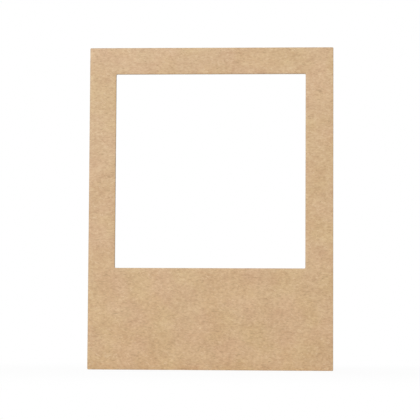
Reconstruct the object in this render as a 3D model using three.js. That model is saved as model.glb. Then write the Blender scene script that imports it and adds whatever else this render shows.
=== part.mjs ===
// Magnetic photo frame: a portrait panel of kraft board with a nearly square
// window near its top and a deep panel under it, as on an instant print.
// Two flexible magnets are taped to its back. They hold it to a steel door,
// and the bay that they leave between them takes a square print.
// Millimetres, +Z up, front towards -Y, +X to the right seen from the front.
// The origin is the middle of the lower magnet's back, on the door's surface.
import * as THREE from "three";

// Kraft board
const cardWidth = 90;
const cardHeight = 118.8;
const cardThickness = 1.25;

// Window, cut through the board
const windowWidth = 70;
const windowHeight = 71.7;
const topRail = 9.8; // board left above the window
const windowShift = -0.2; // how far the cut sits from the board's middle line
const windowCornerRadius = 0.4;

// The cutting rule crushes the front edge as it enters, and leaves the back edge almost square
const frontEdgeRadius = 0.2;
const backEdgeRadius = 0.1;
const frontFaceCornerRadius = 0.15;

// Flexible magnets, cut from one sheet
const magnetThickness = 1;
const magnetLength = 70;
const lowerMagnetHeight = 20;
const upperMagnetHeight = 6.5; // nearly all that the rail above the window leaves
const magnetCornerRadius = 1;
const magnetEdgeRadius = 0.12;

// Adhesive film between each magnet and the board, cut with the magnet
const filmThickness = 0.125;

// The magnets stand clear of the window by what the print overlaps the board,
// and the print has a little play between them
const printOverlap = 2.15;
const printPlay = 0.25;

// Curve fineness: steps in a quarter turn
const cornerSteps = 5;
const edgeSteps = 4;

// Planes across the thickness, from the door outwards
const doorPlane = 0;
const filmBack = doorPlane - magnetThickness;
const cardBack = filmBack - filmThickness;
const cardFront = cardBack - cardThickness;

// Heights, from the lower magnet's middle
const windowClearance = printOverlap + printPlay;
const windowBottom = lowerMagnetHeight / 2 + windowClearance;
const windowTop = windowBottom + windowHeight;
const cardTop = windowTop + topRail;
const cardBottom = cardTop - cardHeight;
const upperMagnetBottom = windowTop + windowClearance;
const upperMagnetTop = upperMagnetBottom + upperMagnetHeight;
const lowerMagnetTop = windowBottom - windowClearance;
const lowerMagnetBottom = lowerMagnetTop - lowerMagnetHeight;

/** The angles that step through a quarter turn. */
function quarterTurn(steps) {
  const step = Math.PI / 2 / steps;
  return Array.from({ length: steps + 1 }, (_, i) => i * step);
}

/** A rectangle given by its middle line, its width and the heights of its ends. */
function rectangle(middle, width, bottom, top) {
  const left = middle - width / 2;
  const right = middle + width / 2;
  return { left, right, bottom, top };
}

/** The rectangle with each side moved outwards, or inwards where the amount is negative. */
function grown({ left, right, bottom, top }, amount) {
  return {
    left: left - amount,
    right: right + amount,
    bottom: bottom - amount,
    top: top + amount,
  };
}

/** The points round a rectangle with round corners, anticlockwise seen from the front. */
function roundedLoop({ left, right, bottom, top }, radius) {
  const centres = [
    new THREE.Vector2(right - radius, top - radius),
    new THREE.Vector2(left + radius, top - radius),
    new THREE.Vector2(left + radius, bottom + radius),
    new THREE.Vector2(right - radius, bottom + radius),
  ];
  return centres.flatMap((centre, corner) => {
    const start = (corner * Math.PI) / 2;
    return quarterTurn(cornerSteps).map((angle) =>
      new THREE.Vector2(radius, 0)
        .rotateAround(new THREE.Vector2(), start + angle)
        .add(centre),
    );
  });
}

/** A rounded edge, from a face to the wall: each point's depth, and how far it draws in. */
function edgeArc(radius) {
  if (radius === 0) {
    return [{ depth: 0, inset: 0 }];
  }
  return quarterTurn(edgeSteps).map((angle) => ({
    depth: radius * (1 - Math.cos(angle)),
    inset: radius * (1 - Math.sin(angle)),
  }));
}

/** A plate's edge from front to back: at each level its Y, and how far it draws in. */
function edgeProfile(front, back, frontRadius, backRadius) {
  const frontArc = edgeArc(frontRadius).map(({ depth, inset }) => ({
    y: front + depth,
    inset,
  }));
  const backArc = edgeArc(backRadius).map(({ depth, inset }) => ({
    y: back - depth,
    inset,
  }));
  return [...frontArc, ...backArc.reverse()];
}

/** The wall that a profile sweeps round a loop: two triangles between each pair of neighbours. */
function wallFaces(ringStarts, ringSize) {
  const faces = [];
  for (let level = 1; level < ringStarts.length; level++) {
    const near = ringStarts[level - 1];
    const far = ringStarts[level];
    for (let i = 0; i < ringSize; i++) {
      const next = (i + 1) % ringSize;
      faces.push(near + i, far + i, near + next);
      faces.push(near + next, far + i, far + next);
    }
  }
  return faces;
}

/** A flat face between an outline and its holes, turned to the front or to the back. */
function flatFaces(loops, ringStarts, towardsFront) {
  const [contour, ...holes] = loops;
  const points = loops.flat();
  const indices = loops.flatMap((loop, n) => loop.map((_, i) => ringStarts[n] + i));
  const triangles = THREE.ShapeUtils.triangulateShape(contour, holes);
  return triangles.flatMap((triangle) => {
    const corners = triangle.map((i) => points[i]);
    const facesFront = THREE.ShapeUtils.area(corners) > 0;
    const ordered = facesFront === towardsFront ? triangle : triangle.reverse();
    return ordered.map((i) => indices[i]);
  });
}

/**
 * A flat plate whose edge has a profile all round its outline and, where a hole
 * is given, round an opening that goes right through.
 */
function plate({ outline, outlineRadius, hole, holeRadius, profile }) {
  const loopMakers = [
    (inset) => roundedLoop(grown(outline, -inset), outlineRadius - inset),
  ];
  if (hole) {
    loopMakers.push((inset) =>
      roundedLoop(grown(hole, inset), holeRadius + inset).reverse(),
    );
  }

  const positions = [];
  const faces = [];
  const starts = loopMakers.map((makeLoop) =>
    profile.map(({ y, inset }) => {
      const ring = makeLoop(inset);
      const start = positions.length / 3;
      positions.push(...ring.flatMap((point) => [point.x, y, point.y]));
      return start;
    }),
  );

  loopMakers.forEach((makeLoop, n) => {
    faces.push(...wallFaces(starts[n], makeLoop(0).length));
  });
  for (const level of [0, profile.length - 1]) {
    const loops = loopMakers.map((makeLoop) => makeLoop(profile[level].inset));
    const ringStarts = starts.map((levels) => levels[level]);
    faces.push(...flatFaces(loops, ringStarts, level === 0));
  }

  const geometry = new THREE.BufferGeometry();
  geometry.setAttribute("position", new THREE.Float32BufferAttribute(positions, 3));
  geometry.setIndex(faces);
  geometry.computeVertexNormals();
  return geometry;
}

const kraftBoard = new THREE.MeshStandardMaterial({
  color: "#d0b18d",
  roughness: 0.92,
  metalness: 0,
});
const ferriteRubber = new THREE.MeshStandardMaterial({
  color: "#332e2a",
  roughness: 0.7,
  metalness: 0,
});
const acrylicFilm = new THREE.MeshStandardMaterial({
  color: "#ded9c8",
  roughness: 0.45,
  metalness: 0,
});

/** The board, one die-cut piece with its window. */
function makeCard() {
  const widestInset = Math.max(frontEdgeRadius, backEdgeRadius);
  const geometry = plate({
    outline: rectangle(0, cardWidth, cardBottom, cardTop),
    outlineRadius: frontFaceCornerRadius + widestInset,
    hole: rectangle(windowShift, windowWidth, windowBottom, windowTop),
    holeRadius: windowCornerRadius,
    profile: edgeProfile(cardFront, cardBack, frontEdgeRadius, backEdgeRadius),
  });
  const card = new THREE.Mesh(geometry, kraftBoard);
  card.name = "frame_card";
  return card;
}

/** A magnet and the film that holds it to the board, two pieces with one outline. */
function makeMagnet(place, bottom, top) {
  const outline = rectangle(0, magnetLength, bottom, top);
  const outlineRadius = magnetCornerRadius;

  const filmProfile = edgeProfile(cardBack, filmBack, 0, 0);
  const filmGeometry = plate({ outline, outlineRadius, profile: filmProfile });
  const film = new THREE.Mesh(filmGeometry, acrylicFilm);
  film.name = `adhesive_film_${place}`;

  const magnetProfile = edgeProfile(filmBack, doorPlane, 0, magnetEdgeRadius);
  const magnetGeometry = plate({ outline, outlineRadius, profile: magnetProfile });
  const magnet = new THREE.Mesh(magnetGeometry, ferriteRubber);
  magnet.name = `magnet_${place}`;

  return [film, magnet];
}

const frame = new THREE.Group();
frame.add(makeCard());
frame.add(...makeMagnet("upper", upperMagnetBottom, upperMagnetTop));
frame.add(...makeMagnet("lower", lowerMagnetBottom, lowerMagnetTop));

export default frame;
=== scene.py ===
"""Dresses the magnetic photo frame: kraft board, flexible magnets and the film that holds them."""

import logging
from collections.abc import Mapping
from dataclasses import dataclass, field
from enum import Enum
from typing import Any

import bmesh
import bpy
import numpy as np
from mathutils import Matrix, Vector


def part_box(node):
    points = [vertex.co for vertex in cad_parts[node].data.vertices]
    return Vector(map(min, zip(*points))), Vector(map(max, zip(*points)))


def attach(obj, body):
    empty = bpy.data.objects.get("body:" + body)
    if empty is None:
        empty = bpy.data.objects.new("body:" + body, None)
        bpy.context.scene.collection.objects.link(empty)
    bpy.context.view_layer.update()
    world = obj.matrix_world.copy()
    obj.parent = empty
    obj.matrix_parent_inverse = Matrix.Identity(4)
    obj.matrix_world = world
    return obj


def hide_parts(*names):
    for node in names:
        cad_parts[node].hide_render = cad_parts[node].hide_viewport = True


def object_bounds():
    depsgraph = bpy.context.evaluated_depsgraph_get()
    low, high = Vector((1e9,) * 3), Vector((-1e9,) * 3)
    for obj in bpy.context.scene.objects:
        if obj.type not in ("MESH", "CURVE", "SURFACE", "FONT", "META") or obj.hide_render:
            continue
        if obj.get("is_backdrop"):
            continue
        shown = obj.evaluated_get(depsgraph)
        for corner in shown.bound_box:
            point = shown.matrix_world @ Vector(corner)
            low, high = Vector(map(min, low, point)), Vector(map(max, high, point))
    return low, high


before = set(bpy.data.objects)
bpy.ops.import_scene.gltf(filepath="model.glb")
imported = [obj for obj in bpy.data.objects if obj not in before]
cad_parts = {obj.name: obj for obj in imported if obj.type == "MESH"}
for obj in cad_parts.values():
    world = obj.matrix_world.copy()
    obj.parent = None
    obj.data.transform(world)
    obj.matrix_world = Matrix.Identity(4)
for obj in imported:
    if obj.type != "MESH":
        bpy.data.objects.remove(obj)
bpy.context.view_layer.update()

MM = 0.001
LATTICE_SIZE = 256
LATTICE_START = 1.0  # metres, which keep every place on the lattice above 0
MERGE_DISTANCE = 0.0004 * MM
WHITE = (1.0, 1.0, 1.0)
MIX_COLOURS = (6, 7)  # a Mix node's colour inputs, by place
MIX_RESULT = 2  # its colour output, by place

Colour = tuple[float, float, float]
Stretch = tuple[float, float, float]
Step = tuple[float, float]
Number = int | float


class Place(Enum):
    """Where a magnet lies on the back of the board, as its nodes' names say it."""

    UPPER = "upper"
    LOWER = "lower"


class Laid(Enum):
    """How one colour is laid on another."""

    OVER = "MIX"
    AS_A_STAIN = "MULTIPLY"


# Shader maths


class Shade:
    """A shader value that can be used in arithmetic. Each operation adds one node."""

    def __init__(self, graph: "Graph", socket: bpy.types.NodeSocket) -> None:
        """Wraps a node's output.

        Args:
            graph: the node graph that holds the socket.
            socket: the output that this value stands for.
        """
        self.graph = graph
        self.socket = socket

    def _math(self, operation: str, *values: "Operand") -> "Shade":
        """The result of a Math node.

        Args:
            operation: the node's operation.
            values: its inputs, in order.

        Returns:
            The node's value.
        """
        inputs = dict(enumerate(values))
        return self.graph.node("ShaderNodeMath", {"operation": operation}, inputs)

    def __add__(self, other: "Operand") -> "Shade":
        """The sum."""
        return self._math("ADD", self, other)

    def __sub__(self, other: "Operand") -> "Shade":
        """This value less the other."""
        return self._math("SUBTRACT", self, other)

    def __mul__(self, other: "Operand") -> "Shade":
        """The product."""
        return self._math("MULTIPLY", self, other)

    def __radd__(self, other: Number) -> "Shade":
        """A number plus this value."""
        return self._math("ADD", other, self)

    def __rsub__(self, other: Number) -> "Shade":
        """A number less this value."""
        return self._math("SUBTRACT", other, self)

    def __rmul__(self, other: Number) -> "Shade":
        """A number times this value."""
        return self._math("MULTIPLY", other, self)

    def larger(self, other: "Operand") -> "Shade":
        """The larger of the two values."""
        return self._math("MAXIMUM", self, other)

    def smooth(self, low: Number, high: Number) -> "Shade":
        """A smooth step.

        Args:
            low: where the step begins, at 0.
            high: where it ends, at 1. It may be less than low.

        Returns:
            0 before the step, 1 after it.
        """
        settings = {"interpolation_type": "SMOOTHSTEP"}
        inputs = {"Value": self, "From Min": low, "From Max": high}
        return self.graph.node("ShaderNodeMapRange", settings, inputs)


Operand = Shade | Number


@dataclass(frozen=True)
class Pattern:
    """Soft noise on a piece.

    The stretch is the number of features per millimetre along X, Y and Z, after a turn
    in degrees about the board's thickness. The detail is how many finer layers lie on
    the noise, and the roughness how strong they are.
    """

    stretch: Stretch
    turn: float = 0.0
    detail: float = 2.0
    roughness: float = 0.5


class Graph:
    """The node graph of one material or of the world."""

    def __init__(self, owner: bpy.types.Material | bpy.types.World) -> None:
        """Clears a graph.

        Args:
            owner: the material or world that it belongs to.
        """
        owner.use_nodes = True
        self.is_world = isinstance(owner, bpy.types.World)
        self.tree = owner.node_tree
        self.tree.nodes.clear()

    def node(
        self,
        kind: str,
        settings: Mapping[str, Any] | None = None,
        inputs: Mapping[str | int, Any] | None = None,
        output: str | int = 0,
    ) -> Shade:
        """Adds any node.

        Args:
            kind: the node's type.
            settings: its properties, set before its sockets.
            inputs: for each input socket, by name or place, a value or a link.
            output: which output to return.

        Returns:
            The chosen output.
        """
        made = self.tree.nodes.new(kind)
        for name, value in (settings or {}).items():
            setattr(made, name, value)
        for key, value in (inputs or {}).items():
            if isinstance(value, Shade):
                self.tree.links.new(value.socket, made.inputs[key])
            elif isinstance(value, tuple) and made.inputs[key].type == "RGBA":
                made.inputs[key].default_value = (*value, 1.0)
            else:
                made.inputs[key].default_value = value
        return Shade(self, made.outputs[output])

    def vector(
        self, operation: str, inputs: Mapping[str | int, Any], output: str | int = 0
    ) -> Shade:
        """The result of a Vector Math node.

        Args:
            operation: the node's operation.
            inputs: its inputs, by name or place.
            output: which output to return.

        Returns:
            The chosen output.
        """
        settings = {"operation": operation}
        return self.node("ShaderNodeVectorMath", settings, inputs, output)

    def attribute(self, name: str) -> Shade:
        """A number that the mesh keeps at each point."""
        return self.node("ShaderNodeAttribute", {"attribute_name": name}, output="Fac")

    def seen(self) -> Shade:
        """1 for rays that the camera, a reflection or clear material sends, 0 for light."""
        rays = ("Is Camera Ray", "Is Glossy Ray", "Is Transmission Ray")
        camera, glossy, clear = (self.node("ShaderNodeLightPath", output=name) for name in rays)
        return camera.larger(glossy).larger(clear)

    def millimetres(
        self, stretch: Stretch, turn: float = 0.0, shift: Shade | None = None
    ) -> Shade:
        """The place on the piece in millimetres, turned and then stretched.

        Args:
            stretch: features per millimetre along X, Y and Z after the turn.
            turn: degrees about the board's thickness.
            shift: a vector, in millimetres, added first to bend what is drawn there.

        Returns:
            The vector for a texture.
        """
        place = self.node("ShaderNodeTexCoord", output="Object")
        place = self.vector("SCALE", {0: place, "Scale": 1 / MM})
        if shift is not None:
            place = self.vector("ADD", {0: place, 1: shift})
        turned = self.node(
            "ShaderNodeVectorRotate",
            {"rotation_type": "Y_AXIS"},
            {"Vector": place, "Angle": np.radians(turn)},
        )
        return self.vector("MULTIPLY", {0: turned, 1: stretch})

    def noise(self, pattern: Pattern, shift: Shade | None = None) -> Shade:
        """Soft noise from 0 to 1, about 0.5.

        Args:
            pattern: its size, turn and layers.
            shift: a vector, in millimetres, that bends it.

        Returns:
            The noise.
        """
        inputs = {
            "Vector": self.millimetres(pattern.stretch, pattern.turn, shift),
            "Scale": 1.0,
            "Detail": pattern.detail,
            "Roughness": pattern.roughness,
        }
        return self.node("ShaderNodeTexNoise", None, inputs)

    def wander(self, reach: float, spacing: float) -> Shade:
        """A vector that drifts over the surface, for lines that aren't straight: noise from
        0 to 1 in each direction, less 0.5, times twice the reach.

        Args:
            reach: how far it drifts, in millimetres.
            spacing: the size of a drift, in millimetres.

        Returns:
            The vector, in millimetres.
        """
        place = self.millimetres((1 / spacing, 1 / spacing, 1 / spacing))
        inputs = {"Vector": place, "Scale": 1.0, "Detail": 1.0}
        colour = self.node("ShaderNodeTexNoise", None, inputs, output="Color")
        centred = self.vector("SUBTRACT", {0: colour, 1: (0.5, 0.5, 0.5)})
        return self.vector("SCALE", {0: centred, "Scale": 2 * reach})

    def blend(
        self, share: Operand, low: Shade | Colour, high: Shade | Colour, laid: Laid = Laid.OVER
    ) -> Shade:
        """A colour between two others.

        Args:
            share: 0 gives the first colour, 1 the second laid on it.
            low: the first colour.
            high: the second colour.
            laid: how the second is laid on the first.

        Returns:
            The colour.
        """
        settings = {"data_type": "RGBA", "blend_type": laid.value, "clamp_factor": True}
        inputs = {0: share, **dict(zip(MIX_COLOURS, (low, high)))}
        return self.node("ShaderNodeMix", settings, inputs, MIX_RESULT)

    def bump(self, height: Shade, reach: float, strength: float) -> Shade:
        """A surface normal for small relief.

        Args:
            height: the relief, from 0 to 1.
            reach: how high 1 stands, in millimetres.
            strength: how much of it shows.

        Returns:
            The normal.
        """
        inputs = {"Height": height, "Distance": reach * MM, "Strength": strength}
        return self.node("ShaderNodeBump", None, inputs)

    def surface(self, shader: Shade) -> None:
        """Makes a shader the graph's result.

        Args:
            shader: the shader.
        """
        kind = "ShaderNodeOutputWorld" if self.is_world else "ShaderNodeOutputMaterial"
        result = self.tree.nodes.new(kind)
        self.tree.links.new(shader.socket, result.inputs["Surface"])

    def principled(self, sockets: Mapping[str, Any]) -> None:
        """Makes a Principled shader with these sockets the graph's result."""
        self.surface(self.node("ShaderNodeBsdfPrincipled", None, sockets))


# Finishes


@dataclass(frozen=True)
class Fibres:
    """Fibres in one direction: degrees from X, and about how long and wide, in millimetres."""

    turn: float
    length: float
    width: float

    def pattern(self) -> Pattern:
        """The noise, stretched along the fibres, whose crests they are."""
        return Pattern((1 / self.length, 1 / self.width, 1 / self.width), self.turn, 1.0)


@dataclass(frozen=True)
class KraftBoard:
    """Uncoated brown board: pulp cloud, grain, fibres lying mostly along X, and dark shives.

    A step says at which value of a pattern it begins to show, and at which it shows fully.
    """

    pale: Colour = (0.762, 0.546, 0.309)
    deep: Colour = (0.524, 0.310, 0.160)
    cloud: Pattern = Pattern((0.11, 0.11, 0.16), roughness=0.4)
    grain: Pattern = Pattern((1.1, 1.9, 2.0), roughness=0.55)
    cloud_share: float = 0.56
    grain_share: float = 1.40
    tone_shift: float = 0.48

    rosy: Colour = (1.0, 0.970, 0.988)
    straw: Colour = (0.990, 1.0, 0.940)
    rosy_patches: Pattern = Pattern((0.08, 0.08, 0.09), turn=40, detail=1.0)
    straw_patches: Pattern = Pattern((0.09, 0.09, 0.08), turn=70, detail=1.0)
    stain_step: Step = (0.40, 0.62)

    fibre_light: Colour = (0.82, 0.62, 0.39)
    fibre_dark: Colour = (0.35, 0.21, 0.095)
    along: Fibres = Fibres(turn=7, length=3.4, width=0.17)
    across: Fibres = Fibres(turn=-38, length=2.8, width=0.15)
    level: Fibres = Fibres(turn=-5, length=3.6, width=0.19)
    fibre_bend: float = 1.2
    bend_spacing: float = 5.0
    fibre_step: Step = (0.57, 0.68)
    fibre_patches: Pattern = Pattern((0.6, 0.6, 0.6), turn=15, detail=1.0)
    light_step: Step = (0.30, 0.75)
    dark_step: Step = (0.60, 0.36)
    fibre_share: float = 0.55

    shive: Colour = (0.22, 0.12, 0.048)
    shive_stretch: Stretch = (0.42, 0.8, 0.8)
    shive_turn: float = 18
    shive_edge: Step = (0.12, 0.04)
    shive_choice: Step = (0.66, 0.70)
    shive_share: float = 0.55

    cut: Colour = (0.33, 0.250, 0.175)
    core: Colour = (0.50, 0.37, 0.245)
    plies: Pattern = Pattern((0.6, 8.0, 0.6), detail=3.0, roughness=0.6)
    ply_step: Step = (0.38, 0.62)
    cut_share: float = 0.85

    tooth: Pattern = Pattern((4.0, 7.0, 7.0), detail=3.0, roughness=0.6)
    mottle: Pattern = Pattern((0.5, 0.7, 0.8), roughness=0.6)
    tooth_relief: float = 0.4
    mottle_relief: float = 0.5
    fibre_relief: float = 0.12
    relief_height: float = 0.02
    relief_strength: float = 0.8
    roughness: float = 0.40
    tooth_roughness: float = 0.10
    cut_roughness: float = 0.3
    refraction: float = 1.45

    def pulp(self, graph: Graph) -> Shade:
        """The colour of the board under its fibres.

        Args:
            graph: the board's graph.

        Returns:
            The colour.
        """
        cloud, grain = graph.noise(self.cloud), graph.noise(self.grain)
        tone = cloud * self.cloud_share + grain * self.grain_share - self.tone_shift
        colour = graph.blend(tone, self.deep, self.pale)
        for patches, stain in ((self.rosy_patches, self.rosy), (self.straw_patches, self.straw)):
            share = graph.noise(patches).smooth(*self.stain_step)
            colour = graph.blend(share, colour, stain, Laid.AS_A_STAIN)
        return colour

    def fibres(self, graph: Graph, drift: Shade) -> tuple[Shade, Shade]:
        """The fibres that show: light ones where a slow noise is high, dark ones where it is low.

        Args:
            graph: the board's graph.
            drift: what bends them.

        Returns:
            How much each place is light fibre, and how much it is dark fibre.
        """
        along, across, level = (
            graph.noise(fibres.pattern(), drift).smooth(*self.fibre_step)
            for fibres in (self.along, self.across, self.level)
        )
        patches = graph.noise(self.fibre_patches)
        light = (along + across) * patches.smooth(*self.light_step)
        return light, level * patches.smooth(*self.dark_step)

    def shives(self, graph: Graph, drift: Shade) -> Shade:
        """The dark splinters: the middles of some of the cells of a stretched cell pattern.

        Args:
            graph: the board's graph.
            drift: what bends them.

        Returns:
            1 on a shive, 0 off it.
        """
        place = graph.millimetres(self.shive_stretch, self.shive_turn, drift)
        spots = {"Vector": place, "Scale": 1.0}
        away = graph.node("ShaderNodeTexVoronoi", None, spots)
        cell = graph.node("ShaderNodeTexVoronoi", None, spots, output="Color")
        chosen = graph.node("ShaderNodeSeparateColor", None, {"Color": cell})
        return away.smooth(*self.shive_edge) * chosen.smooth(*self.shive_choice)

    def material(self) -> bpy.types.Material:
        """Builds the finish.

        Returns:
            The material.
        """
        made = bpy.data.materials.new("kraft_board")
        graph = Graph(made)
        drift = graph.wander(self.fibre_bend, self.bend_spacing)
        light, dark = self.fibres(graph, drift)
        colour = graph.blend(light * self.fibre_share, self.pulp(graph), self.fibre_light)
        colour = graph.blend(dark * self.fibre_share, colour, self.fibre_dark)
        colour = graph.blend(self.shives(graph, drift) * self.shive_share, colour, self.shive)

        cut, plies = graph.attribute("cut"), graph.noise(self.plies)
        torn = graph.blend(plies.smooth(*self.ply_step), self.cut, self.core)
        colour = graph.blend(cut * self.cut_share, colour, torn)

        tooth, mottle = graph.noise(self.tooth), graph.noise(self.mottle)
        relief = tooth * self.tooth_relief + mottle * self.mottle_relief
        relief = relief + (light + dark) * self.fibre_relief + cut * plies
        rough = self.roughness + tooth * self.tooth_roughness + cut * self.cut_roughness
        graph.principled(
            {
                "Base Color": colour,
                "Roughness": rough,
                "IOR": self.refraction,
                "Normal": graph.bump(relief, self.relief_height, self.relief_strength),
            }
        )
        return made


@dataclass(frozen=True)
class FerriteRubber:
    """Flexible magnet: dark brown filled rubber with fine lines from the rolls, along X."""

    body: Colour = (0.036, 0.030, 0.025)
    dusty: Colour = (0.092, 0.080, 0.068)
    lines: Pattern = Pattern((0.02, 3.0, 3.2), detail=3.0, roughness=0.65)
    cloud: Pattern = Pattern((0.12, 0.12, 0.2), detail=3.0)
    pits: Pattern = Pattern((5.0, 5.0, 5.0), detail=1.0)
    cloud_step: Step = (0.4, 0.75)
    line_step: Step = (0.5, 0.8)
    cloud_dust: float = 0.4
    line_dust: float = 0.4
    worn_dust: float = 0.7
    line_relief: float = 0.8
    pit_relief: float = 0.2
    relief_height: float = 0.014
    relief_strength: float = 0.9
    roughness: float = 0.42
    cloud_roughness: float = 0.18
    refraction: float = 1.5

    def material(self) -> bpy.types.Material:
        """Builds the finish.

        Returns:
            The material.
        """
        made = bpy.data.materials.new("ferrite_rubber")
        graph = Graph(made)
        worn = graph.attribute("worn")
        lines, cloud, pits = (graph.noise(each) for each in (self.lines, self.cloud, self.pits))
        dust = cloud.smooth(*self.cloud_step) * self.cloud_dust
        dust = dust + lines.smooth(*self.line_step) * self.line_dust + worn * pits * self.worn_dust
        relief = lines * self.line_relief + pits * self.pit_relief
        graph.principled(
            {
                "Base Color": graph.blend(dust, self.body, self.dusty),
                "Roughness": self.roughness + cloud * self.cloud_roughness,
                "IOR": self.refraction,
                "Normal": graph.bump(relief, self.relief_height, self.relief_strength),
            }
        )
        return made


@dataclass(frozen=True)
class AcrylicFilm:
    """Double-sided film: pale, soft and a little glossy where its edge shows."""

    body: Colour = (0.66, 0.62, 0.50)
    worn: Colour = (0.50, 0.46, 0.36)
    smear: Pattern = Pattern((0.5, 0.5, 0.5), detail=3.0)
    smear_step: Step = (0.35, 0.7)
    roughness: float = 0.3
    smear_roughness: float = 0.2
    refraction: float = 1.47

    def material(self) -> bpy.types.Material:
        """Builds the finish.

        Returns:
            The material.
        """
        made = bpy.data.materials.new("acrylic_film")
        graph = Graph(made)
        smear = graph.noise(self.smear)
        graph.principled(
            {
                "Base Color": graph.blend(smear.smooth(*self.smear_step), self.body, self.worn),
                "Roughness": self.roughness + smear * self.smear_roughness,
                "IOR": self.refraction,
            }
        )
        return made


# Shapes


@dataclass(frozen=True)
class Rectangle:
    """An upright rectangle in the plane of the board, in metres."""

    left: float
    right: float
    bottom: float
    top: float

    def loop(self, grow: np.ndarray, radius: np.ndarray, side: int, corner: int) -> np.ndarray:
        """Rectangles with round corners, one for each level of a profile.

        A corner is a quarter circle about a centre one radius inside both sides, and a
        side is the straight line from the end of one quarter circle to the start of the
        next. The points run anticlockwise seen from the front, from the top right corner.

        Args:
            grow: for each level, how far the sides move outwards.
            radius: for each level, the radius of the corners.
            side: points along a side.
            corner: points round a corner.

        Returns:
            X and Z, with the shape (levels, points, 2).
        """
        signs = np.array([[1, 1], [-1, 1], [-1, -1], [1, -1]])
        middle = np.array([self.left + self.right, self.bottom + self.top]) / 2
        half = np.array([self.right - self.left, self.top - self.bottom]) / 2
        reach = half + (grow - radius)[:, None]
        centres = middle + signs * reach[:, None, :]
        turns = np.arange(4)[:, None] * np.pi / 2 + np.linspace(0, np.pi / 2, corner)
        quarter = np.stack([np.cos(turns), np.sin(turns)], -1)
        arcs = centres[:, :, None, :] + radius[:, None, None, None] * quarter
        ends = np.roll(arcs[:, :, :1], -1, axis=1)
        share = (np.arange(1, side + 1) / (side + 1))[:, None]
        straights = arcs[:, :, -1:] * (1 - share) + ends * share
        return np.concatenate([arcs, straights], axis=2).reshape(len(grow), -1, 2)


@dataclass(frozen=True)
class Section:
    """Rows of a section through the board: how far each draws in from its loop, its depth
    behind the front face, and its place from the window, 0, to the outline, 1."""

    inset: np.ndarray
    depth: np.ndarray
    place: np.ndarray

    def turned(self) -> "Section":
        """The same rows from the other end."""
        return Section(self.inset[::-1], self.depth[::-1], self.place[::-1])


def lattice_noise(u: np.ndarray, v: np.ndarray, cell: float, seed: int) -> np.ndarray:
    """Smooth noise: random heights at the corners of a square lattice, and between them
    the heights blended by 3t² - 2t³ of the place in the cell, along both directions.

    Args:
        u: the first coordinate of each point.
        v: the second coordinate of each point.
        cell: the lattice's pitch, in the units of u and v.
        seed: which heights.

    Returns:
        The noise, from 0 to 1, with the shape of u.
    """
    heights = np.random.default_rng(seed).random((LATTICE_SIZE, LATTICE_SIZE))
    column, row = np.floor(u / cell).astype(int), np.floor(v / cell).astype(int)
    s, t = u / cell - column, v / cell - row
    s, t = s * s * (3 - 2 * s), t * t * (3 - 2 * t)
    left, right = column % LATTICE_SIZE, (column + 1) % LATTICE_SIZE
    near, far = row % LATTICE_SIZE, (row + 1) % LATTICE_SIZE
    first = heights[left, near] * (1 - s) + heights[right, near] * s
    second = heights[left, far] * (1 - s) + heights[right, far] * s
    return first * (1 - t) + second * t


def added(name: str, data: bpy.types.ID) -> bpy.types.Object:
    """A new object at the origin of the scene, for a mesh, a light or a camera."""
    made = bpy.data.objects.new(name, data)
    bpy.context.scene.collection.objects.link(made)
    return made


def surface_mesh(
    name: str, points: np.ndarray, ring: bool, attribute: str, values: np.ndarray
) -> bpy.types.Object:
    """A closed piece from a section carried round a loop.

    Args:
        name: the piece's name.
        points: X, Y and Z, with the shape (section, around, 3).
        ring: whether the section comes back to its start. Otherwise its first and last
            rows each fold onto a line, where opposite points meet and are merged.
        attribute: the name of a number kept at each point.
        values: that number, with the shape (section, around).

    Returns:
        The piece.
    """
    section, around = points.shape[:2]
    index = np.arange(section * around).reshape(section, around)
    next_section, next_around = np.roll(index, -1, axis=0), np.roll(index, -1, axis=1)
    quads = np.stack([index, next_section, np.roll(next_section, -1, axis=1), next_around], -1)
    quads = (quads if ring else quads[:-1]).reshape(-1, 4)
    mesh = bpy.data.meshes.new(name)
    mesh.from_pydata(points.reshape(-1, 3).tolist(), [], quads.tolist())
    kept = mesh.attributes.new(attribute, "FLOAT", "POINT")
    kept.data.foreach_set("value", values.astype(np.float32).ravel())
    if not ring:
        merged = bmesh.new()
        merged.from_mesh(mesh)
        bmesh.ops.remove_doubles(merged, verts=merged.verts, dist=MERGE_DISTANCE)
        merged.to_mesh(mesh)
        merged.free()
    mesh.polygons.foreach_set("use_smooth", np.ones(len(mesh.polygons), bool))
    mesh.update()
    return added(name, mesh)


# The frame's pieces


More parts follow.
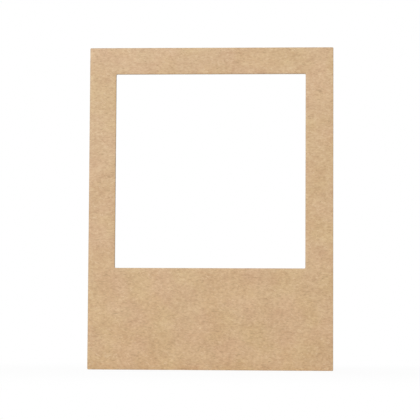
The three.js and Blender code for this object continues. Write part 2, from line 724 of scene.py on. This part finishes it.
@dataclass
class Board:
    """The die-cut board: one closed section carried round the window.

    The edges are the radii where the faces turn into the cut walls. The rim says how far
    from a cut the first rows of a face lie. The inner margin keeps the outline's points
    out of the search for the window.
    """

    node: str = "frame_card"
    front_edge: float = 0.2 * MM
    back_edge: float = 0.1 * MM
    outline_corner: float = 0.4 * MM
    window_corner: float = 0.4 * MM
    smallest_corner: float = 0.02 * MM
    bruise_depth: float = 0.05 * MM
    bruise_reach: float = 0.45 * MM
    ripple: float = 0.016 * MM
    ripple_cells: tuple[float, float] = (7 * MM, 1.7 * MM)
    wall_tear: float = 0.03 * MM
    tear_per_point: float = 0.35
    tear_per_millimetre: float = 9
    tear_seed: int = 9
    side_points: int = 140
    corner_points: int = 7
    face_rows: int = 44
    edge_rows: int = 5
    wall_rows: int = 7
    rim: tuple[float, ...] = (0.06 * MM, 0.16 * MM, 0.32 * MM, 0.6 * MM, 1.0 * MM)
    inner_margin: float = 2 * MM
    wall_slack: float = 0.01 * MM
    finish: KraftBoard = field(default_factory=KraftBoard)

    def window(self) -> Rectangle:
        """The window's clear opening, read from the node's mesh.

        Returns:
            The box of the points that lie on the window's wall.
        """
        low, high = (np.array(corner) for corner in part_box(self.node))
        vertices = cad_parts[self.node].data.vertices
        places = np.empty(len(vertices) * 3, np.float32)
        vertices.foreach_get("co", places)
        points = places.reshape(-1, 3).astype(float)
        room = (high - low) / 2 - self.inner_margin
        inside = (np.abs(points - (low + high) / 2) < room)[:, [0, 2]].all(axis=1)
        front_end = low[1] + self.front_edge - self.wall_slack
        back_end = high[1] - self.back_edge + self.wall_slack
        on_wall = (points[:, 1] > front_end) & (points[:, 1] < back_end)
        wall = points[inside & on_wall]
        return Rectangle(wall[:, 0].min(), wall[:, 0].max(), wall[:, 2].min(), wall[:, 2].max())

    def face(self, edge: float, depth: float) -> Section:
        """The rows of a flat face. They start at the window's rim, step away from it, cross
        the rail in equal shares and close up on the outline's rim.

        Args:
            edge: how far the face's rims draw in.
            depth: how far the face lies behind the front one.

        Returns:
            The rows, from the window to the outline.
        """
        rim = np.array(self.rim)
        share = np.linspace(0, 1, self.face_rows)
        across = np.full(len(share), rim[-1])
        inset = edge + np.concatenate([[0], rim[:-1], across, rim[-2::-1], [0]])
        place = np.concatenate([np.zeros(len(rim)), share, np.ones(len(rim))])
        return Section(inset, np.full(len(inset), depth), place)

    def wall(self, thickness: float, place: float) -> Section:
        """The rows of a cut wall: a quarter circle into it, the wall, a quarter circle out.

        Args:
            thickness: the board's thickness.
            place: 0 for the window's wall, 1 for the outline's.

        Returns:
            The rows, from the front to the back, without the faces' own.
        """
        turn = np.linspace(0, np.pi / 2, self.edge_rows + 1)
        front, back = turn[1:], turn[::-1][:-1]
        start, end = self.front_edge, thickness - self.back_edge
        straight = np.linspace(start, end, self.wall_rows + 2)[1:-1]
        front_inset = self.front_edge * (1 - np.sin(front))
        back_inset = self.back_edge * (1 - np.sin(back))
        front_depth = self.front_edge * (1 - np.cos(front))
        back_depth = thickness - self.back_edge * (1 - np.cos(back))
        inset = np.concatenate([front_inset, np.zeros_like(straight), back_inset])
        depth = np.concatenate([front_depth, straight, back_depth])
        return Section(inset, depth, np.full(len(inset), place))

    def section(self, thickness: float) -> Section:
        """The closed section: front face, outline's wall, back face and window's wall.

        Args:
            thickness: the board's thickness.

        Returns:
            The rows.
        """
        parts = (
            self.face(self.front_edge, 0.0),
            self.wall(thickness, 1.0),
            self.face(self.back_edge, thickness).turned(),
            self.wall(thickness, 0.0).turned(),
        )
        rows = zip(*((part.inset, part.depth, part.place) for part in parts))
        return Section(*(np.concatenate(row) for row in rows))

    def outward(self, steps: tuple[int, int]) -> np.ndarray:
        """The outward direction at each point of a loop: how the loop moves when it grows.

        Args:
            steps: points along a side and round a corner.

        Returns:
            The directions, with the shape (1, points, 2).
        """
        square = Rectangle(-1, 1, -1, 1)
        growth = 0.1
        radius = 0.2
        grow, radii = np.array([0.0, growth]), np.array([radius, radius + growth])
        small, large = square.loop(grow, radii, *steps)
        return (large - small)[None] / growth

    def surface(self) -> tuple[np.ndarray, np.ndarray]:
        """Every point of the board.

        A point lies between its window loop and its outline loop by its share of the
        rail, at its depth. The faces then sink by two layers of ripple, and the front one
        also by a bruise that dies away from the cut as exp(-distance / reach). The walls
        draw in by a fine tear. All of it goes inwards, so the board stays in its box.

        Returns:
            The points, with the shape (section, around, 3), and how much each is cut wall.
        """
        low, high = (np.array(corner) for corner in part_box(self.node))
        thickness = high[1] - low[1]
        section = self.section(thickness)
        inset, depth, place = section.inset, section.depth, section.place
        steps = (self.side_points, self.corner_points)
        outline = Rectangle(low[0], high[0], low[2], high[2])
        outer_radius = np.maximum(self.outline_corner - inset, self.smallest_corner)
        outer = outline.loop(-inset, outer_radius, *steps)
        inner = self.window().loop(inset, self.window_corner + inset, *steps)
        flat = inner + (outer - inner) * place[:, None, None]

        x, z = flat[..., 0] + LATTICE_START, flat[..., 1] + LATTICE_START
        ripple = sum(
            lattice_noise(x, z, cell, seed) * self.ripple / len(self.ripple_cells)
            for seed, cell in enumerate(self.ripple_cells)
        )
        at_front = np.clip(1 - depth / self.front_edge, 0, 1)
        at_back = np.clip(1 - (thickness - depth) / self.back_edge, 0, 1)
        away = np.maximum(inset - self.front_edge, 0)
        bruise = self.bruise_depth * np.exp(-away / self.bruise_reach)
        bruise[(place > 0) & (place < 1)] = 0
        y = low[1] + depth[:, None] + at_front[:, None] * (ripple + bruise[:, None])
        y = y - at_back[:, None] * ripple

        cut = (1 - at_front) * (1 - at_back)
        along, down = np.broadcast_arrays(
            np.arange(flat.shape[1]) * self.tear_per_point,
            depth[:, None] / MM * self.tear_per_millimetre,
        )
        tear = lattice_noise(along, down, 1.0, self.tear_seed) * cut[:, None] * self.wall_tear
        inwards = np.where(place > 0.5, -1, 1)[:, None, None] * self.outward(steps)
        flat = flat + inwards * tear[..., None]
        points = np.stack([flat[..., 0], y, flat[..., 1]], -1)
        return points, np.broadcast_to(cut[:, None], y.shape)

    def build(self) -> bpy.types.Object:
        """Builds the board, gives it its finish and lets it stand for its node.

        Returns:
            The piece.
        """
        points, cut = self.surface()
        piece = surface_mesh("kraft_card", points, True, "cut", cut)
        piece.data.materials.append(self.finish.material())
        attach(piece, "root")
        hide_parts(self.node)
        return piece


@dataclass
class Magnets:
    """The two flexible magnets, die-cut from rolled sheet, on their films."""

    corner: float = 1.0 * MM
    back_edge: float = 0.12 * MM
    ridge: float = 0.022 * MM
    ridge_cells: tuple[float, float] = (16 * MM, 1.1 * MM)
    ridge_start: tuple[float, float] = (9, 99)
    ridge_seed: int = 21
    swell: float = 0.03 * MM
    swell_cell: float = 9 * MM
    swell_seed: int = 22
    wear_reach: float = 0.5 * MM
    side_points: int = 110
    corner_points: int = 9
    face_rows: int = 24
    edge_rows: int = 5
    wall_rows: int = 4
    rubber: FerriteRubber = field(default_factory=FerriteRubber)
    film: AcrylicFilm = field(default_factory=AcrylicFilm)

    def section(self, reach: float, thickness: float) -> tuple[np.ndarray, np.ndarray]:
        """A magnet's section from the middle of its front, round its edge, to the middle
        of its back: straight across, square into the wall, and a quarter circle out of it.

        Args:
            reach: how far the middle line lies from the long sides.
            thickness: the magnet's thickness.

        Returns:
            How far each point draws in from the outline, and its depth behind the front.
        """
        share = np.linspace(0, 1, self.face_rows)
        turn = np.linspace(0, np.pi / 2, self.edge_rows + 1)[1:]
        front = reach * (1 - share[:-1])
        wall = np.linspace(0, thickness - self.back_edge, self.wall_rows + 1)
        round_in = self.back_edge * (1 - np.cos(turn))
        round_back = thickness - self.back_edge * (1 - np.sin(turn))
        back = self.back_edge + (reach - self.back_edge) * share[1:]
        back_depth = np.full_like(back, thickness)
        inset = np.concatenate([front, np.zeros_like(wall), round_in, back])
        depth = np.concatenate([np.zeros_like(front), wall, round_back, back_depth])
        return inset, depth

    def magnet(self, place: Place, finish: bpy.types.Material) -> bpy.types.Object:
        """Builds one magnet and lets it stand for its node.

        The section is carried round a rectangle with round corners that shrinks onto its
        own middle line. The corners lose what the edge draws in, and then evenly the rest.
        The back sinks by long low ridges, which the rolls leave along X, and by a broad
        swell, both inwards.

        Args:
            place: which magnet.
            finish: its material.

        Returns:
            The piece.
        """
        node = f"magnet_{place.value}"
        low, high = (np.array(corner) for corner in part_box(node))
        outline = Rectangle(low[0], high[0], low[2], high[2])
        inset, depth = self.section((high[2] - low[2]) / 2, high[1] - low[1])
        insets = (0, self.back_edge, inset.max())
        radius = np.interp(inset, insets, (self.corner, self.corner - self.back_edge, 0))
        flat = outline.loop(-inset, radius, self.side_points, self.corner_points)
        x, z = flat[..., 0], flat[..., 1]
        (length, pitch), (start, rise) = self.ridge_cells, self.ridge_start
        ridges = lattice_noise(x / length + start, z / pitch + rise, 1.0, self.ridge_seed)
        swell = lattice_noise(
            x + LATTICE_START, z + LATTICE_START, self.swell_cell, self.swell_seed
        )
        at_back = np.clip((depth - depth.max()) / self.back_edge + 1, 0, 1)[:, None]
        y = low[1] + depth[:, None] - at_back * (ridges * self.ridge + swell * self.swell)
        worn = np.broadcast_to(np.exp(-inset / self.wear_reach)[:, None], y.shape)
        piece = surface_mesh(f"{node}_sheet", np.stack([x, y, z], -1), False, "worn", worn)
        piece.data.materials.append(finish)
        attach(piece, "root")
        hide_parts(node)
        return piece

    def build(self) -> list[bpy.types.Object]:
        """Builds both magnets, and gives the films, whose shape is kept, their finish.

        Returns:
            The pieces.
        """
        rubber, film = self.rubber.material(), self.film.material()
        pieces = []
        for place in Place:
            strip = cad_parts[f"adhesive_film_{place.value}"]
            strip.data.materials.clear()
            strip.data.materials.append(film)
            pieces += [self.magnet(place, rubber), strip]
        return pieces


# The studio


def direction(azimuth: float, elevation: float) -> Vector:
    """The way something looks from an azimuth and elevation: 0, 0 looks along +Y, a
    positive azimuth stands to the right of the frame, a positive elevation above it.

    Args:
        azimuth: degrees.
        elevation: degrees.

    Returns:
        The unit direction.
    """
    a, e = np.radians(azimuth), np.radians(elevation)
    return Vector((-np.sin(a) * np.cos(e), np.cos(a) * np.cos(e), -np.sin(e)))


def looking(place: Vector, ahead: Vector, roll: float) -> Matrix:
    """The matrix of a camera or light at a place that looks ahead.

    Args:
        place: where it stands.
        ahead: the way it looks.
        roll: degrees that it is turned anticlockwise about that way, seen from behind it.

    Returns:
        The matrix.
    """
    right = ahead.cross(Vector((0, 0, 1))).normalized()
    up = right.cross(ahead)
    turn = np.radians(roll)
    rolled_right = right * np.cos(turn) + up * np.sin(turn)
    rolled_up = up * np.cos(turn) - right * np.sin(turn)
    turned = Matrix((rolled_right, rolled_up, -ahead)).transposed().to_4x4()
    turned.translation = place
    return turned


@dataclass(frozen=True)
class Softbox:
    """A square soft light that looks at the middle of the frame, in degrees and metres."""

    name: str
    azimuth: float
    elevation: float
    distance: float
    size: float
    level: float
    tint: Colour = WHITE

    def build(self, middle: Vector) -> bpy.types.Object:
        """Hangs the light.

        A lamp of P watts gives a white wall that faces it at a distance d a value of
        P / (pi² d²), so the power is the wanted level times pi² d².

        Args:
            middle: what it looks at.

        Returns:
            The light.
        """
        data = bpy.data.lights.new(self.name, "AREA")
        data.shape = "SQUARE"
        data.size = self.size
        data.color = self.tint
        data.energy = self.level * np.pi**2 * self.distance**2
        light = added(self.name, data)
        ahead = direction(self.azimuth, self.elevation)
        light.matrix_world = looking(middle - ahead * self.distance, ahead, 0.0)
        return light


@dataclass(frozen=True)
class Camera:
    """The photograph's camera, fitted to the corners of the outline and the window.

    Its angles are in degrees, its places in metres, and its lens and sensor in millimetres.
    It looks at a point of the board's front face.
    """

    azimuth: float = 3.52
    elevation: float = -4.088
    roll: float = 0.318
    distance: float = 690.52 * MM
    lens: float = 161.14
    sensor: float = 36.0
    clip_start: float = 0.01
    aim_x: float = -0.197 * MM
    aim_z: float = 33.743 * MM

    def build(self, front: float) -> bpy.types.Object:
        """Sets up the camera.

        Args:
            front: the Y of the board's front face.

        Returns:
            The camera.
        """
        data = bpy.data.cameras.new("camera")
        data.lens = self.lens
        data.sensor_width = self.sensor
        data.clip_start = self.clip_start
        camera = added("camera", data)
        ahead = direction(self.azimuth, self.elevation)
        place = Vector((self.aim_x, front, self.aim_z)) - ahead * self.distance
        camera.matrix_world = looking(place, ahead, self.roll)
        bpy.context.scene.camera = camera
        return camera


@dataclass(frozen=True)
class Studio:
    """A pale floor under the frame, a white surround and soft lights."""

    ambient: float = 0.38
    floor_size: float = 6.0
    floor_colour: Colour = (0.90, 0.90, 0.90)
    floor_shows: float = 0.06
    fade_start: float = 0.04
    fade_end: float = 0.3
    lights: tuple[Softbox, ...] = (
        Softbox(
            "key_softbox",
            azimuth=-15,
            elevation=17,
            distance=5.0,
            size=1.4,
            level=0.46,
            tint=(0.99, 0.995, 1.0),
        ),
        Softbox("low_softbox", azimuth=25, elevation=-50, distance=0.7, size=0.5, level=0.18),
        Softbox("back_softbox", azimuth=205, elevation=35, distance=0.9, size=0.6, level=0.42),
    )

    def surround(self) -> None:
        """Makes the world white to the camera and a plain soft light to the frame."""
        world = bpy.data.worlds.new("studio")
        bpy.context.scene.world = world
        graph = Graph(world)
        strength = self.ambient + graph.seen() * (1 - self.ambient)
        inputs = {"Color": WHITE, "Strength": strength}
        graph.surface(graph.node("ShaderNodeBackground", None, inputs))

    def floor_material(self) -> bpy.types.Material:
        """Builds the floor's material: pale and matt near the frame, and white further off.

        Returns:
            The material.
        """
        made = bpy.data.materials.new("floor")
        graph = Graph(made)
        place = graph.node("ShaderNodeTexCoord", output="Object")
        away = graph.vector("LENGTH", {0: place}, output="Value")
        near = away.smooth(self.fade_end, self.fade_start) * self.floor_shows
        matt = graph.node("ShaderNodeBsdfDiffuse", None, {"Color": self.floor_colour})
        white = graph.node("ShaderNodeEmission", None, {"Color": WHITE})
        share = graph.seen() * (1 - near)
        graph.surface(graph.node("ShaderNodeMixShader", None, {0: share, 1: matt, 2: white}))
        return made

    def floor(self, height: float) -> bpy.types.Object:
        """Lays the floor.

        Args:
            height: its Z.

        Returns:
            The floor.
        """
        half = self.floor_size / 2
        sides = ((-half, -half), (half, -half), (half, half), (-half, half))
        mesh = bpy.data.meshes.new("floor")
        mesh.from_pydata([(x, y, height) for x, y in sides], [], [(0, 1, 2, 3)])
        mesh.materials.append(self.floor_material())
        floor = added("floor", mesh)
        floor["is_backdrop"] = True
        return floor

    def build(self) -> None:
        """Builds the whole studio round the frame."""
        low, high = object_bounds()
        middle = (Vector(low) + Vector(high)) / 2
        self.surround()
        self.floor(low[2])
        for light in self.lights:
            light.build(middle)


def main() -> None:
    """Builds the camera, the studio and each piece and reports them."""
    logging.basicConfig(level=logging.INFO, format="%(message)s")
    bpy.context.scene.view_settings.view_transform = "Standard"
    Camera().build(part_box("frame_card")[0].y)
    Studio().build()
    for piece in [Board().build(), *Magnets().build()]:
        logging.info("%s: %d faces", piece.name, len(piece.data.polygons))


if __name__ == "__main__":
    main()
